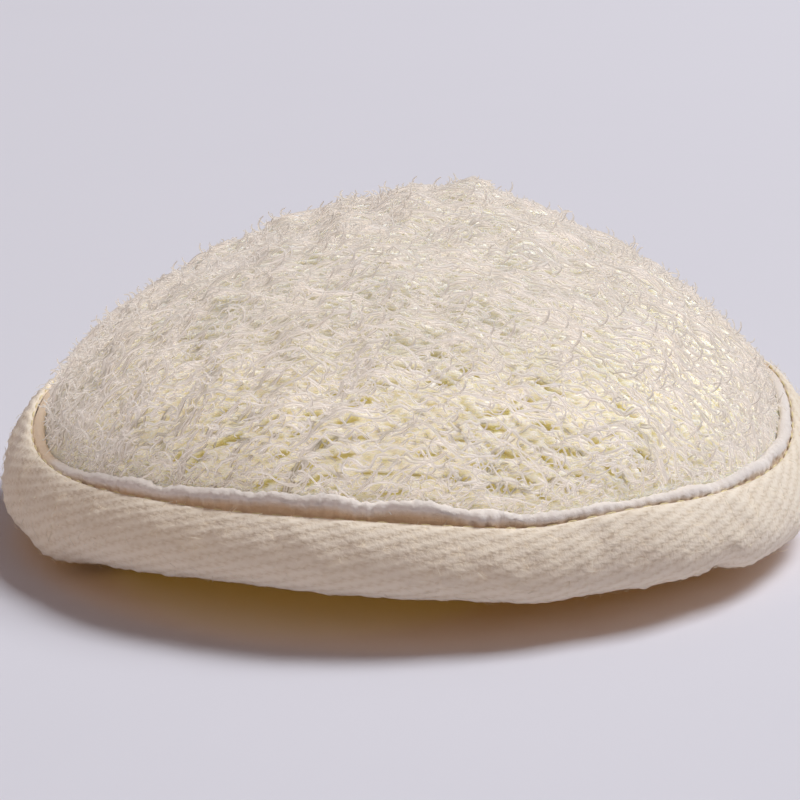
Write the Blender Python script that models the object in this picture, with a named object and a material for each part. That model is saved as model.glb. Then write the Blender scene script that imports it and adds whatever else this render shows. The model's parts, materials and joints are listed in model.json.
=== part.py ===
"""A natural loofah pad: a domed piece of luffa with its edge bound in a folded cotton tape.

The pad lies on its soft back with its dome up, and its rim clears the surface all round. Five
pieces make it up: the luffa, the backing cloth under it, the white lining between luffa and
tape, the binding tape folded round all their edges, and the thread that sews the tape on.

Every piece follows one rim. A place on the rim is given by a turn about the vertical, a step
inward from the outline and a height in the rim's section. Units are metres, +Z is up, +X
is the long way, and the origin is on the surface under the middle of the pad.
"""

import math

import bmesh
import bpy
from mathutils import Vector, geometry, noise

MM = 0.001

# Driving sizes
PAD_LENGTH = 107.4 * MM
PAD_DEPTH = 90.0 * MM
HALF_LENGTH = PAD_LENGTH / 2
HALF_DEPTH = PAD_DEPTH / 2

# The rim clears the surface: it is arched in front, and rises towards the back
RIM_LIFT = 3.0 * MM
FRONT_ARCH = 2.7 * MM
FRONT_ARCH_LEFT = 1.3 * MM
ARCH_STARTS = 0.45
ARCH_FULL = 0.95
ARCH_SQUEEZE = 0.055 / MM
ARCH_FADES_FROM = 11 * MM
ARCH_FADES_TO = 24 * MM
BACK_RISE = 3.9 * MM
BACK_RISE_RIGHT = 1.2 * MM
RISE_STARTS = -0.35
RISE_FULL = 0.3
RISE_ON_DOME = 12

# The dome
DOME_INSET = 6.3 * MM
DOME_FOOT = 10.6 * MM
DOME_RISE = 27.6 * MM
DOME_POWER = 0.66
DOME_FULLER = 0.6
DOME_MIDDLE = 10.8 * MM
DOME_HALF_LENGTH = HALF_LENGTH - DOME_INSET
DOME_HALF_DEPTH = HALF_DEPTH - DOME_INSET

# Soft lumps of the dome: place along X, place along Y, radius, height
DOME_LUMPS = (
    (8.5 * MM, 4 * MM, 11 * MM, 2.6 * MM),
    (-10 * MM, 6 * MM, 8 * MM, 0.4 * MM),
    (30 * MM, 2 * MM, 11 * MM, 0.3 * MM),
    (-25 * MM, 4 * MM, 9 * MM, -2.4 * MM),
    (-16 * MM, 6 * MM, 7 * MM, -1.9 * MM),
    (-10.5 * MM, 4 * MM, 5 * MM, -0.9 * MM),
    (-3 * MM, 2 * MM, 3.5 * MM, -0.8 * MM),
)

# The raised net of the luffa, coarser than life: strands round lens-shaped holes
CELL_LENGTH = 10.4 * MM
CELL_SHOULDER = 1.3 * MM
CELL_HEIGHT = 4.1 * MM
COLUMN_STEP = CELL_LENGTH / 2 + CELL_SHOULDER
STRAND_HALF_WIDTH = 0.45 * MM
HOLE_WALL = 0.6 * MM
HOLE_DEPTH = 1.5 * MM
STRAND_UNEVEN = 0.45 * MM
SMALLEST_HOLE = 3 * MM**2
NET_EDGE = 0.8 * MM
SLOW_SWAY = (2.4 * MM, 17 * MM)
QUICK_SWAY = (0.8 * MM, 6 * MM)

# Facets round the rim
DOME_SEGMENTS = 64
LINING_SEGMENTS = 64
BACKING_SEGMENTS = 48
TWILL_RIDGES = 76
STITCHES = 80

# The twill of the tape: ridges that rise to the right as seen from the front
TWILL_HEIGHT = 0.3 * MM
TWILL_TURN = 0.53

# The lining's roll shows in front, and ends behind the tape's edge at the sides
ROLL_ENDS_FROM = -0.3
ROLL_ENDS_AT = 0.05

SEAM_STEP = 2.9 * MM
SEAM_HEIGHT = 10.15 * MM
SEAM_RADIUS = 0.25 * MM
SEAM_WAVE = 0.08 * MM


def smooth_step(start: float, end: float, value: float) -> float:
    """A smooth change from 0 at start to 1 at end."""
    share = min(1.0, max(0.0, (value - start) / (end - start)))
    return share * share * (3 - 2 * share)


def arch(turn: float) -> float:
    """How far the front of the rim is raised at this turn by its arch."""
    full = FRONT_ARCH - FRONT_ARCH_LEFT * math.cos(turn)
    return full * smooth_step(ARCH_STARTS, ARCH_FULL, -math.sin(turn))


def rise(turn: float) -> float:
    """How far the back of the rim is raised at this turn, more at its right than its left."""
    full = BACK_RISE + BACK_RISE_RIGHT * math.cos(turn)
    return full * smooth_step(RISE_STARTS, RISE_FULL, math.sin(turn))


def rim_point(turn: float, step_in: float, height: float) -> Vector:
    """A point of the pad's section, its height counted from the fold's lowest line.

    Where the rim is arched its section is a little lower. Arch and rise fade towards the
    middle.
    """
    fade = 1 - smooth_step(ARCH_FADES_FROM, ARCH_FADES_TO, step_in)
    bend = arch(turn) * fade
    return Vector(
        (
            (HALF_LENGTH - step_in) * math.cos(turn),
            (HALF_DEPTH - step_in) * math.sin(turn),
            RIM_LIFT + rise(turn) * fade + bend + height * (1 - ARCH_SQUEEZE * bend),
        )
    )


def dome_point(turn: float, reach: float) -> Vector:
    """A point of the smooth dome, from reach 0 at the top to 1 at its foot."""
    foot = rim_point(turn, DOME_INSET, DOME_FOOT).z - rise(turn)
    x = DOME_HALF_LENGTH * reach * math.cos(turn)
    y = DOME_HALF_DEPTH * reach * math.sin(turn)
    lumps = sum(
        height * math.exp(-((x - at_x) ** 2 + (y - at_y) ** 2) / radius**2)
        for at_x, at_y, radius, height in DOME_LUMPS
    )
    fullness = 2 + DOME_FULLER * math.sin(turn) ** 2
    crown = DOME_RISE * max(0.0, 1 - reach**fullness) ** DOME_POWER
    middle = RIM_LIFT + DOME_MIDDLE
    base = middle + (foot - middle) * reach**4 + rise(turn) * reach**RISE_ON_DOME
    return Vector((x, y, base + crown + lumps * (1 - reach**4)))


def dome_normal(turn: float, reach: float) -> Vector:
    """The outward direction of the smooth dome, level at its foot."""
    if reach < 0.02:
        return Vector((0, 0, 1))
    small = 0.004
    near, far = max(0.0, reach - small), min(0.9995, reach + small)
    along = dome_point(turn, far) - dome_point(turn, near)
    across = dome_point(turn + small, reach) - dome_point(turn - small, reach)
    return along.cross(across).normalized()


def reach_by_length() -> tuple[list[float], float]:
    """Even steps along the dome's profile as reaches, and the profile's whole length."""
    count = 400
    mean = (DOME_HALF_LENGTH + DOME_HALF_DEPTH) / 2
    reaches = [math.sin(math.pi / 2 * i / count) for i in range(count + 1)]
    profile = [
        Vector((mean * reach, DOME_RISE * max(0.0, 1 - reach**2) ** DOME_POWER))
        for reach in reaches
    ]
    lengths = [0.0]
    for before, after in zip(profile, profile[1:]):
        lengths.append(lengths[-1] + (after - before).length)
    whole = lengths[-1]
    even, place = [], 0
    for i in range(count + 1):
        wanted = whole * i / count
        while place < count - 1 and lengths[place + 1] < wanted:
            place += 1
        step = lengths[place + 1] - lengths[place]
        share = min(1.0, (wanted - lengths[place]) / step)
        even.append(reaches[place] + (reaches[place + 1] - reaches[place]) * share)
    return even, whole


def material(name: str, colour: tuple[float, float, float], roughness: float):
    """A plain matt material."""
    made = bpy.data.materials.new(name)
    made.use_nodes = True
    shader = made.node_tree.nodes["Principled BSDF"]
    shader.inputs["Base Color"].default_value = (*colour, 1)
    shader.inputs["Roughness"].default_value = roughness
    shader.inputs["Metallic"].default_value = 0
    made.diffuse_color = (*colour, 1)
    return made


def add_object(name: str, mesh_builder: bmesh.types.BMesh, finish, sharp_degrees: float):
    """Turns a closed bmesh into a named object of the scene."""
    bmesh.ops.recalc_face_normals(mesh_builder, faces=mesh_builder.faces)
    mesh = bpy.data.meshes.new(name)
    mesh_builder.to_mesh(mesh)
    mesh_builder.free()
    mesh.materials.append(finish)
    mesh.shade_smooth()
    mesh.set_sharp_from_angle(angle=math.radians(sharp_degrees))
    made = bpy.data.objects.new(name, mesh)
    bpy.context.scene.collection.objects.link(made)
    return made


def bridge(build: bmesh.types.BMesh, first: list, second: list) -> None:
    """Faces between two closed rings of as many vertices."""
    count = len(first)
    for i in range(count):
        after = (i + 1) % count
        build.faces.new((first[i], first[after], second[after], second[i]))


def ring_of_sections(sections: list[list[Vector]]) -> bmesh.types.BMesh:
    """A closed ring through closed sections of as many points."""
    build = bmesh.new()
    loops = [[build.verts.new(point) for point in section] for section in sections]
    for i, loop in enumerate(loops):
        bridge(build, loop, loops[(i + 1) % len(loops)])
    return build


def sway(point: Vector) -> Vector:
    """Moves a point of the flat net, so that its holes differ as on a grown net."""
    moved = point.copy()
    for amount, size in (SLOW_SWAY, QUICK_SWAY):
        push = noise.noise_vector(Vector((point.x / size, point.y / size, 3.7)))
        moved += Vector((push.x, push.y)) * amount
    return moved


def cut_by_circle(ring: list[Vector], radius: float) -> list[Vector]:
    """The part of a flat ring of points that lies inside a circle about the middle."""
    kept = []
    for before, after in zip(ring, ring[1:] + ring[:1]):
        if before.length <= radius:
            kept.append(before)
        if (before.length <= radius) != (after.length <= radius):
            low, high = (before, after) if before.length <= radius else (after, before)
            way = high - low
            half = low.dot(way) / way.length_squared
            rest = (radius**2 - low.length_squared) / way.length_squared
            kept.append(low + way * (math.sqrt(half**2 + rest) - half))
    return kept


def cell_ring(centre: Vector, inset: float, whole: float) -> list[Vector]:
    """The six corners of one lens-shaped hole, stepped in from the strands' middle lines."""
    tip = CELL_LENGTH / 2 - inset * CELL_LENGTH / CELL_HEIGHT * 0.9
    shoulder = CELL_SHOULDER - inset * 0.35
    half = CELL_HEIGHT / 2 - inset
    corners = (
        (tip, 0),
        (shoulder, half),
        (-shoulder, half),
        (-tip, 0),
        (-shoulder, -half),
        (shoulder, -half),
    )
    ring = [sway(centre + Vector(corner)) for corner in corners]
    return cut_by_circle(ring, whole - NET_EDGE - inset)


def ring_area(ring: list[Vector]) -> float:
    """The area inside a flat ring of points."""
    pairs = zip(ring, ring[1:] + ring[:1])
    return abs(sum(a.x * b.y - b.x * a.y for a, b in pairs)) / 2


def net_outline(whole: float) -> tuple[list[Vector], list[tuple[int, int]], list[int]]:
    """The flat net as points, edges to keep, and each point's level: 0 strand, 1 hole."""
    points, edges, levels = [], [], []

    def add_ring(ring: list[Vector], level: int) -> None:
        start = len(points)
        points.extend(ring)
        levels.extend([level] * len(ring))
        edges.extend((start + i, start + (i + 1) % len(ring)) for i in range(len(ring)))

    turns = [math.tau * i / DOME_SEGMENTS for i in range(DOME_SEGMENTS)]
    add_ring([Vector((math.cos(t), math.sin(t))) * whole for t in turns], 0)
    columns = math.ceil(whole / COLUMN_STEP) + 1
    rows = math.ceil(whole / CELL_HEIGHT) + 1
    for column in range(-columns, columns + 1):
        for row in range(-rows, rows + 1):
            offset = CELL_HEIGHT / 2 if column % 2 else 0
            centre = Vector((column * COLUMN_STEP, row * CELL_HEIGHT + offset))
            strand_ring = cell_ring(centre, STRAND_HALF_WIDTH, whole)
            hole_ring = cell_ring(centre, STRAND_HALF_WIDTH + HOLE_WALL, whole)
            if ring_area(hole_ring) > SMALLEST_HOLE:
                add_ring(strand_ring, 0)
                add_ring(hole_ring, 1)
    return points, edges, levels


def make_luffa(finish):
    """The luffa in one piece: netted dome, edge pressed into the binding, flat underside."""
    even, whole = reach_by_length()
    points, edges, levels = net_outline(whole)
    flat, _, triangles, origins, _, _ = geometry.delaunay_2d_cdt(points, edges, [], 0, 1e-9)

    build = bmesh.new()
    verts = []
    for point, origin in zip(flat, origins):
        share = min(1.0, point.length / whole) * (len(even) - 1)
        low = min(int(share), len(even) - 2)
        reach = even[low] + (even[low + 1] - even[low]) * (share - low)
        turn = math.atan2(point.y, point.x)
        on_rim = origin[0] < DOME_SEGMENTS
        if on_rim:
            verts.append(build.verts.new(rim_point(turn, DOME_INSET, DOME_FOOT)))
            continue
        uneven = noise.noise(Vector((point.x / (3 * MM), point.y / (3 * MM), 9.1)))
        raise_by = STRAND_UNEVEN * uneven - HOLE_DEPTH * levels[origin[0]]
        verts.append(
            build.verts.new(dome_point(turn, reach) + dome_normal(turn, reach) * raise_by)
        )
    for triangle in triangles:
        build.faces.new([verts[i] for i in triangle])

    rim = [vert for vert, origin in zip(verts, origins) if origin[0] < DOME_SEGMENTS]
    rim.sort(key=lambda vert: math.atan2(vert.co.y, vert.co.x))
    turns = [
        math.atan2(vert.co.y / DOME_HALF_DEPTH, vert.co.x / DOME_HALF_LENGTH) for vert in rim
    ]
    # The pressed edge runs down inside the fold, and then the underside runs in on the cloth
    edge_section = (
        (5.6, 9.4),
        (4.75, 7.9),
        (3.75, 6.0),
        (2.55, 4.8),
        (2.9, 3.0),
        (5.2, 2.5),
        (10.6, 1.8),
        (15.0, 0.2),
        (24.0, -1.6),
    )
    loop = rim
    for step_in, height in edge_section:
        ring = [build.verts.new(rim_point(turn, step_in * MM, height * MM)) for turn in turns]
        bridge(build, loop, ring)
        loop = ring
    middle = build.verts.new(rim_point(0, HALF_LENGTH, -1.6 * MM))
    for i, vert in enumerate(loop):
        build.faces.new((vert, loop[(i + 1) % len(loop)], middle))
    return add_object("luffa_dome", build, finish, 50)


def make_binding(finish):
    """The cotton tape folded round the edge, with the diagonal ridges of its twill."""
    # Section from the top edge down the outside, under the pad and back up inside the fold:
    # step in and height in millimetres, share of the twill's height, share of its turn
    section = (
        (4.3, 9.5, 0.0, 0.96),
        (3.6, 10.2, 0.0, 1.0),
        (2.35, 9.0, 0.7, 0.87),
        (1.15, 7.3, 1.0, 0.69),
        (0.35, 5.4, 1.0, 0.51),
        (0.0, 3.6, 1.0, 0.34),
        (0.5, 1.5, 1.0, 0.15),
        (2.3, 0.0, 0.0, 0.0),
        (5.2, -0.6, 0.0, 0.0),
        (10.4, -1.2, 0.0, 0.12),
        (10.5, -0.2, 0.0, 0.2),
        (5.2, 0.45, 0.0, 0.35),
        (1.75, 1.9, 0.0, 0.5),
        (1.4, 5.2, 0.0, 0.7),
        (2.85, 7.9, 0.0, 0.85),
    )
    columns = 2 * TWILL_RIDGES
    sections = []
    for column in range(columns):
        sunk = TWILL_HEIGHT * (column % 2)
        start = math.tau * column / columns
        sections.append(
            [
                rim_point(start + turned * TWILL_TURN, step_in * MM + sunk * share, height * MM)
                for step_in, height, share, turned in section
            ]
        )
    return add_object("binding_tape", ring_of_sections(sections), finish, 60)


def make_lining(finish):
    """The white lining: its tail is in the fold, and in front a soft roll stands above it."""
    in_front = (
        (5.25, 11.7),
        (5.95, 11.2),
        (5.7, 10.4),
        (4.35, 7.95),
        (3.4, 6.2),
        (2.85, 6.5),
        (3.75, 8.25),
        (4.65, 10.0),
        (4.5, 11.1),
    )
    behind = (
        (4.9, 9.75),
        (5.2, 9.55),
        (5.0, 9.1),
        (4.35, 7.95),
        (3.4, 6.2),
        (2.85, 6.5),
        (3.75, 8.25),
        (4.4, 9.05),
        (4.6, 9.45),
    )
    sections = []
    for i in range(LINING_SEGMENTS):
        turn = math.tau * i / LINING_SEGMENTS
        share = smooth_step(ROLL_ENDS_FROM, ROLL_ENDS_AT, math.sin(turn))
        section = []
        for roll, tail in zip(in_front, behind):
            step_in, height = (a + (b - a) * share for a, b in zip(roll, tail))
            section.append(rim_point(turn, step_in * MM, height * MM))
        sections.append(section)
    return add_object("lining_edge", ring_of_sections(sections), finish, 50)


def make_backing(finish):
    """The backing cloth under the luffa, with its edge in the fold of the tape."""
    upper = ((3.2, 2.5), (5.2, 2.1), (10.6, 1.4), (15.0, -0.2), (24.0, -2.0))
    lower = ((3.2, 1.6), (5.2, 1.1), (10.6, 0.45), (15.0, -1.3), (24.0, -3.0))
    middle_heights = (-2.0, -3.0)
    turns = [math.tau * i / BACKING_SEGMENTS for i in range(BACKING_SEGMENTS)]
    build = bmesh.new()
    outer_loops = []
    for side, middle_height in zip((upper, lower), middle_heights):
        loops = [
            [build.verts.new(rim_point(turn, step_in * MM, height * MM)) for turn in turns]
            for step_in, height in side
        ]
        for outer, inner in zip(loops, loops[1:]):
            bridge(build, outer, inner)
        middle = build.verts.new(rim_point(0, HALF_LENGTH, middle_height * MM))
        for i, vert in enumerate(loops[-1]):
            build.faces.new((vert, loops[-1][(i + 1) % len(turns)], middle))
        outer_loops.append(loops[0])
    bridge(build, *outer_loops)
    return add_object("backing_cloth", build, finish, 50)


def make_seam(finish):
    """The seam's thread: one line that rises and sinks once a stitch, near the tape's edge."""
    sides = 3
    outward = Vector((-0.68, 0.73))
    sections = []
    for i in range(2 * STITCHES):
        turn = math.tau * i / (2 * STITCHES)
        wave = SEAM_WAVE * (1 if i % 2 else -1)
        section = []
        for side in range(sides):
            angle = math.tau * side / sides
            step_in = SEAM_STEP + outward.x * wave + SEAM_RADIUS * math.cos(angle)
            height = SEAM_HEIGHT + outward.y * wave + SEAM_RADIUS * math.sin(angle)
            section.append(rim_point(turn, step_in, height))
        sections.append(section)
    return add_object("seam_thread", ring_of_sections(sections), finish, 80)


def main() -> None:
    """Clears the scene and models the pad."""
    for old in list(bpy.data.objects):
        bpy.data.objects.remove(old)
    make_luffa(material("luffa", (0.74, 0.66, 0.50), 0.7))
    make_binding(material("cotton_tape", (0.68, 0.56, 0.44), 0.85))
    make_lining(material("white_lining", (0.84, 0.80, 0.78), 0.9))
    make_backing(material("backing", (0.60, 0.47, 0.30), 0.9))
    make_seam(material("thread", (0.80, 0.72, 0.52), 0.6))


if __name__ == "__main__":
    main()
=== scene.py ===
"""Looks of a natural loofah pad: netted luffa, cotton tape, white lining, stitches and back.

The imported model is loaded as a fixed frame. Every piece here follows the pad's own form: a
place is given by a turn about the vertical, a step in from the outline and a height in the
rim's section, or, on the dome, by a turn and a reach from its top. Lengths are in metres,
except where a name ends in mm.
"""

from __future__ import annotations

import json
import logging
import math
from collections.abc import Iterator
from dataclasses import dataclass, field
from enum import Enum

import bpy
import numpy as np
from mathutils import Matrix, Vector

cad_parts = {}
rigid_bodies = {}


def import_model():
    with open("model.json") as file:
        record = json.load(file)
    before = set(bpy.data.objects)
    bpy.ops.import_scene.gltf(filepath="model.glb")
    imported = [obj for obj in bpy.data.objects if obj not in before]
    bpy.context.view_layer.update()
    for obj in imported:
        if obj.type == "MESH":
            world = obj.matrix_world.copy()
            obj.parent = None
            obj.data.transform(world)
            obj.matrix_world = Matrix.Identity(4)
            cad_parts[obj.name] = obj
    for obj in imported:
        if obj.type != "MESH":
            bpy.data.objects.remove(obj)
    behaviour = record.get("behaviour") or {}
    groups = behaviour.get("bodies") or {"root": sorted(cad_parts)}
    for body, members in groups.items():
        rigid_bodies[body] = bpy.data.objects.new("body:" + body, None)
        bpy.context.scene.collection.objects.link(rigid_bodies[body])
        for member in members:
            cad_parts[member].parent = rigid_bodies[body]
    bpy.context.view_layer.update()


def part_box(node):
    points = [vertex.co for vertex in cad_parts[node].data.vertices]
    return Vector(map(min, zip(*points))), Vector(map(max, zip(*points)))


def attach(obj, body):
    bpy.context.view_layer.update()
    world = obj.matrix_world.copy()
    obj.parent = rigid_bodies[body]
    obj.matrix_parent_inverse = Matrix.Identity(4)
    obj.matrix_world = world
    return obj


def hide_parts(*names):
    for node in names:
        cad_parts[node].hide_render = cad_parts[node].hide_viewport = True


LOG = logging.getLogger("loofah_pad")
MM = 0.001
TAU = math.tau
BODY = "root"

Array = np.ndarray
Object = bpy.types.Object
Material = bpy.types.Material
Socket = bpy.types.NodeSocket
Triple = tuple[float, float, float]
Pairs = tuple[tuple[float, float], ...]


def smooth_step(start: float, end: float, value: Array) -> Array:
    """A smooth change from 0 at start to 1 at end."""
    share = np.clip((value - start) / (end - start), 0.0, 1.0)
    return share * share * (3.0 - 2.0 * share)


def srgb(*levels: int) -> Triple:
    """A screen colour from 0 to 255 as the linear colour that shaders take."""
    shares = [level / 255 for level in levels]
    return tuple(v / 12.92 if v <= 0.04045 else ((v + 0.055) / 1.055) ** 2.4 for v in shares)


class SoftNoise:
    """Smooth seeded noise on a plane, between about -1 and 1, made of a few slanted waves."""

    def __init__(self, seed: int, wavelength: float, waves: int = 9) -> None:
        """Draws the waves.

        Args:
            seed: Fixes the draw.
            wavelength: The mean distance between two crests.
            waves: How many waves are summed.
        """
        random = np.random.default_rng(seed)
        headings = random.uniform(0, TAU, waves)
        lengths = wavelength * random.uniform(0.6, 1.6, waves)
        self.kx = TAU * np.cos(headings) / lengths
        self.ky = TAU * np.sin(headings) / lengths
        self.phases = random.uniform(0, TAU, waves)
        self.scale = 1.6 / math.sqrt(waves)

    def at(self, x: Array, y: Array) -> Array:
        """The noise at places x, y, which may be arrays of one shape.

        Args:
            x: Places along one way.
            y: Places along the other.

        Returns:
            The noise, in their common shape.
        """
        x, y = np.broadcast_arrays(np.asarray(x, float), np.asarray(y, float))
        total = np.zeros(x.shape)
        for kx, ky, phase in zip(self.kx, self.ky, self.phases):
            total += np.sin(kx * x + ky * y + phase)
        return total * self.scale


@dataclass(frozen=True)
class Lump:
    """A soft rise or dip of the dome, in millimetres."""

    x: float
    y: float
    radius: float
    height: float


@dataclass(frozen=True)
class Sag:
    """A rise or dip of the soft rim: turn and width in degrees, rise in millimetres."""

    turn: float
    width: float
    rise: float
    low_only: bool = False


@dataclass(frozen=True)
class PadForm:
    """The pad's form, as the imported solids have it, with the soft rim's small sags."""

    half_length: float
    half_depth: float
    rim_lift: float = 3.0 * MM
    front_arch: float = 2.7 * MM
    front_arch_left: float = 1.3 * MM
    arch_grows: tuple[float, float] = (0.45, 0.95)
    arch_squeeze: float = 0.055 / MM
    back_rise: float = 3.9 * MM
    back_rise_right: float = 1.2 * MM
    rise_grows: tuple[float, float] = (-0.35, 0.3)
    rise_on_dome: int = 12
    arch_fades: tuple[float, float] = (11 * MM, 24 * MM)
    dome_inset: float = 6.3 * MM
    dome_foot: float = 10.6 * MM
    dome_middle: float = 10.8 * MM
    dome_rise: float = 27.6 * MM
    dome_power: float = 0.66
    dome_fuller: float = 0.6
    lumps: tuple[Lump, ...] = (
        Lump(8.5, 4, 11, 2.6),
        Lump(-10, 6, 8, 0.4),
        Lump(30, 2, 11, 0.3),
        Lump(-25, 4, 9, -2.4),
        Lump(-16, 6, 7, -1.9),
        Lump(-10.5, 4, 5, -0.9),
        Lump(-3, 2, 3.5, -0.8),
        Lump(3.5, -14, 4, -0.6),
        Lump(7, 3, 7, 0.7),
        Lump(35, 5, 9, 1.1),
    )
    uneven: float = 0.28 * MM
    uneven_seed: int = 9
    uneven_wave: float = 6 * MM
    sags: tuple[Sag, ...] = (
        Sag(-101, 13, 0.5),
        Sag(-74, 8, -0.65),
        Sag(-57, 8, 0.3),
        Sag(-44, 3.2, 1.0, low_only=True),
        Sag(-62, 6, -0.6, low_only=True),
        Sag(-150, 8, -0.7, low_only=True),
    )

    @classmethod
    def from_frame(cls) -> PadForm:
        """Reads the outline's size from the binding tape's box."""
        low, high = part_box("binding_tape")
        return cls(half_length=(high[0] - low[0]) / 2, half_depth=(high[1] - low[1]) / 2)

    def arch(self, turn: Array) -> Array:
        """How far the front of the rim is raised at each turn by its arch."""
        full = self.front_arch - self.front_arch_left * np.cos(turn)
        return full * smooth_step(*self.arch_grows, -np.sin(turn))

    def rise(self, turn: Array) -> Array:
        """How far the back of the rim is raised at each turn."""
        full = self.back_rise + self.back_rise_right * np.cos(turn)
        return full * smooth_step(*self.rise_grows, np.sin(turn))

    def sag(self, turn: Array, height: Array) -> Array:
        """How far the soft rim is raised by its sags at each turn and height in its section.

        Args:
            turn: Turns about the vertical.
            height: Heights in the section.

        Returns:
            The rise, in their common shape.
        """
        low = 1 - smooth_step(1.5 * MM, 7 * MM, height)
        total = np.zeros(np.broadcast(turn, height).shape)
        for sag in self.sags:
            away = (turn - math.radians(sag.turn) + math.pi) % TAU - math.pi
            near = np.exp(-((away / math.radians(sag.width)) ** 2))
            total += sag.rise * MM * near * (low if sag.low_only else 1.0)
        return total

    def section(self, turn: Array, step_in: Array, height: Array) -> Array:
        """Points of the pad's section.

        Args:
            turn: Turns about the vertical, from +X.
            step_in: Steps inward from the outline.
            height: Heights above the lowest line of the tape's fold.

        Returns:
            Points with the last axis x, y, z.
        """
        turn, step_in, height = np.broadcast_arrays(turn, step_in, height)
        fade = 1 - smooth_step(*self.arch_fades, step_in)
        bend, rise = self.arch(turn) * fade, self.rise(turn) * fade
        lift = self.rim_lift + rise + bend + self.sag(turn, height) * fade
        x = (self.half_length - step_in) * np.cos(turn)
        y = (self.half_depth - step_in) * np.sin(turn)
        return np.stack((x, y, lift + height * (1 - self.arch_squeeze * bend)), axis=-1)

    def dome(self, turn: Array, reach: Array) -> Array:
        """Points of the smooth dome, from reach 0 at its top to 1 at its foot.

        Args:
            turn: Turns about the vertical.
            reach: Shares of the way from the top to the foot.

        Returns:
            Points with the last axis x, y, z.
        """
        turn, reach = np.broadcast_arrays(turn, reach)
        x = (self.half_length - self.dome_inset) * reach * np.cos(turn)
        y = (self.half_depth - self.dome_inset) * reach * np.sin(turn)
        rise = self.rise(turn)
        foot = self.section(turn, self.dome_inset, self.dome_foot)[..., 2] - rise
        middle = self.rim_lift + self.dome_middle
        fullness = 2 + self.dome_fuller * np.sin(turn) ** 2
        crown = self.dome_rise * np.clip(1 - reach**fullness, 0, None) ** self.dome_power
        lumps = np.zeros(x.shape)
        for lump in self.lumps:
            away = (x - lump.x * MM) ** 2 + (y - lump.y * MM) ** 2
            lumps += lump.height * MM * np.exp(-away / (lump.radius * MM) ** 2)
        lumps += self.uneven * SoftNoise(self.uneven_seed, self.uneven_wave, 14).at(x, y)
        base = middle + (foot - middle) * reach**4 + rise * reach**self.rise_on_dome
        return np.stack((x, y, base + crown + lumps * (1 - reach**4)), axis=-1)

    def dome_normal(self, turn: Array, reach: Array) -> Array:
        """Outward directions of the smooth dome.

        Args:
            turn: Turns about the vertical.
            reach: Shares of the way from the top to the foot.

        Returns:
            Unit directions with the last axis x, y, z.
        """
        small = 0.004
        reach = np.clip(reach, 0.02, 0.9955)
        along = self.dome(turn, reach + small) - self.dome(turn, reach - small)
        across = self.dome(turn + small, reach) - self.dome(turn - small, reach)
        normal = np.cross(along, across)
        return normal / np.linalg.norm(normal, axis=-1, keepdims=True)


class UnrolledDome:
    """The dome as a flat disc, whose radius is the length of the dome's profile."""

    profile_points = 401

    def __init__(self, form: PadForm) -> None:
        """Measures the mean profile of the form.

        Args:
            form: The pad's form.
        """
        self.form = form
        self.reaches = np.sin(np.linspace(0, math.pi / 2, self.profile_points))
        mean = (form.half_length + form.half_depth) / 2 - form.dome_inset
        rise = form.dome_rise * np.clip(1 - self.reaches**2, 0, None) ** form.dome_power
        steps = np.hypot(np.diff(mean * self.reaches), np.diff(rise))
        self.lengths = np.concatenate(([0.0], np.cumsum(steps)))
        self.radius = float(self.lengths[-1])

    def raised(self, u: Array, v: Array, height: Array) -> Array:
        """Places on the disc as points of the dome, raised along its outward direction.

        Args:
            u: Places along the disc's long way.
            v: Places across it.
            height: How far each point is raised.

        Returns:
            Points with the last axis x, y, z.
        """
        length = np.minimum(np.hypot(u, v), self.radius)
        reach = np.interp(length, self.lengths, self.reaches)
        turn = np.arctan2(v, u)
        return self.form.dome(turn, reach) + self.form.dome_normal(turn, reach) * height[..., None]


def new_mesh(name: str, points: Array, faces: list[list[int]]) -> bpy.types.Mesh:
    """A smooth-shaded mesh of points and faces.

    Args:
        name: The mesh's name.
        points: Points with the last axis x, y, z.
        faces: Each face's points.

    Returns:
        The new mesh.
    """
    mesh = bpy.data.meshes.new(name)
    mesh.from_pydata(points.reshape(-1, 3).tolist(), [], faces)
    mesh.shade_smooth()
    mesh.update()
    return mesh


def new_object(mesh: bpy.types.Mesh, finish: Material | None = None) -> Object:
    """Links a mesh as an object of the same name, with its finish.

    Args:
        mesh: The object's mesh.
        finish: Its material, if it has one.

    Returns:
        The new object.
    """
    made = bpy.data.objects.new(mesh.name, mesh)
    bpy.context.scene.collection.objects.link(made)
    if finish is not None:
        mesh.materials.append(finish)
    return made


def grid_faces(
    rows: int, columns: int, wrap_rows: bool, wrap_columns: bool
) -> list[list[int]]:
    """Quads of a grid of points, closed round either way as asked.

    Args:
        rows: How many rows there are.
        columns: How many points a row has.
        wrap_rows: Whether the last row joins the first.
        wrap_columns: Whether each row's last point joins its first.

    Returns:
        The quads, row by row.
    """
    row = np.arange(rows if wrap_rows else rows - 1)[:, None]
    column = np.arange(columns if wrap_columns else columns - 1)[None, :]
    below, beside = (row + 1) % rows * columns, (column + 1) % columns
    corners = (row * columns + column, below + column, below + beside, row * columns + beside)
    return np.stack(np.broadcast_arrays(*corners), axis=-1).reshape(-1, 4).tolist()


def store(mesh: bpy.types.Mesh, name: str, values: Array) -> None:
    """Keeps one number a point in a named attribute."""
    layer = mesh.attributes.new(name, "FLOAT", "POINT")
    layer.data.foreach_set("value", np.asarray(values, np.float32).ravel())


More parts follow.
